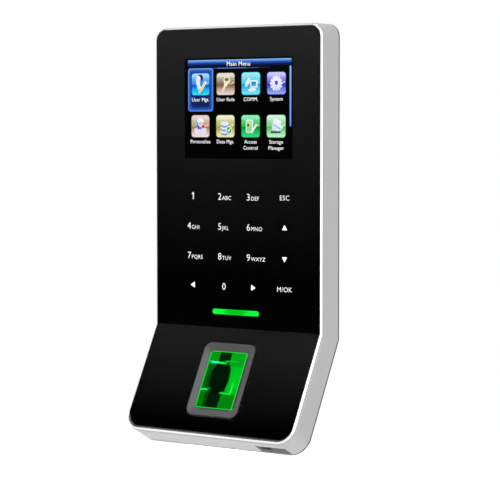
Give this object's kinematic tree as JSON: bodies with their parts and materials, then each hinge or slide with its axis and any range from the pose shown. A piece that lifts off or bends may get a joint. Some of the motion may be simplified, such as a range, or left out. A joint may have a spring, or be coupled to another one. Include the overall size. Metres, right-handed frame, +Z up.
{
  "type": "fingerprint scanner terminal",
  "caption": "Wall-hung access terminal with display, touch keys, status light and a leaning fingerprint scanner, on a steel wall plate.",
  "frame": {"origin": "centre of the wall plate's four screw holes, on the plane of the wall", "axes": "+Z up, +Y into the wall, +X to the right of someone facing the terminal; the display faces -Y"},
  "size_m": [0.078, 0.0398, 0.1598],
  "materials": {
    "clear_panel": "polished clear acrylic over black print",
    "black_print": "opaque black ink on film",
    "black_tape": "black foam tape",
    "grey_sealant": "satin dark grey bead",
    "silver_paint": "fine metallic silver paint, bright rim",
    "black_moulding": "fine spark texture",
    "dark_screw": "black zinc",
    "label_film": "satin silver film, blank",
    "foam_rubber": "closed cell foam",
    "display_black": "display glass",
    "display_frame": "folded tin frame",
    "amber_ribbon": "polyimide film",
    "ivory_nylon": "natural nylon",
    "dark_board": "black solder mask",
    "white_lamp": "small lamp bodies",
    "milky_guide": "diffusing acrylic",
    "grey_moulding": "satin dark grey",
    "prism_glass": "optical glass lit green",
    "black_rubber": "silicone",
    "lens_barrel": "black barrel",
    "black_chip": "moulded epoxy",
    "green_board": "green solder mask",
    "brass_insert": "knurled brass",
    "steel_screw": "zinc plated",
    "tinned_steel": "tin plate",
    "gold_contact": "gold flash",
    "speaker_black": "black frame",
    "polished_steel": "nickel plated",
    "white_ceramic": "ceramic",
    "white_nylon": "acetal",
    "spring_steel": "drawn wire",
    "nickel_shell": "nickel plated",
    "port_plastic": "white nylon",
    "zinc_plate": "galvanised sheet"
  },
  "bodies": {
    "wall_plate": {"wall_plate": "zinc_plate", "security_screw": "steel_screw"},
    "terminal": {"front_glass": "clear_panel", "mask_film": "black_print", "panel_tape": "black_tape", "edge_bead": "grey_sealant", "body_shell": "silver_paint", "rear_cover": "black_moulding", "cover_screws": "dark_screw", "blank_label": "label_film", "window_seal": "foam_rubber", "display_cell": "display_black", "display_backlight": "display_frame", "display_ribbon": "amber_ribbon", "ribbon_socket": "ivory_nylon", "touch_board": "dark_board", "key_lights": "white_lamp", "card_coil": "amber_ribbon", "status_light_guide": "milky_guide", "status_lights": "white_lamp", "scanner_bezel": "grey_moulding", "scanner_prism": "prism_glass", "scanner_seal": "black_rubber", "scanner_housing": "black_moulding", "scanner_lens": "lens_barrel", "image_sensor": "black_chip", "scanner_board": "green_board", "scanner_lights": "white_lamp", "scanner_screws": "dark_screw", "scanner_ribbon": "amber_ribbon", "main_board": "green_board", "board_inserts": "brass_insert", "board_screws": "steel_screw", "shield_can": "tinned_steel", "processor": "black_chip", "memory_chips": "black_chip", "wiring_headers": "ivory_nylon", "header_pins": "gold_contact", "speaker": "speaker_black", "coin_cell": "polished_steel", "coin_cell_holder": "black_moulding", "radio_antenna": "white_ceramic", "tamper_switch": "black_chip", "tamper_spring": "spring_steel", "reset_switch": "tinned_steel", "port_shell": "nickel_shell", "port_tongue": "port_plastic", "port_contacts": "gold_contact", "port_board": "green_board", "security_insert": "brass_insert"},
    "tamper_plunger": {"tamper_plunger": "white_nylon"},
    "reset_button": {"reset_button": "white_nylon"}
  },
  "joints": [
    {"name": "terminal_lift", "type": "slide", "parent": "wall_plate", "child": "terminal", "axis": [0, 0, 1], "range_m": [0, 0.0065]},
    {"name": "tamper_press", "type": "slide", "parent": "terminal", "child": "tamper_plunger", "axis": [0, -1, 0], "range_m": [0, 0.0015], "stiffness_N_per_m": 300, "deforming": ["tamper_spring"]},
    {"name": "reset_press", "type": "slide", "parent": "terminal", "child": "reset_button", "axis": [0, -1, 0], "range_m": [0, 0.00025], "stiffness_N_per_m": 2000}
  ]
}
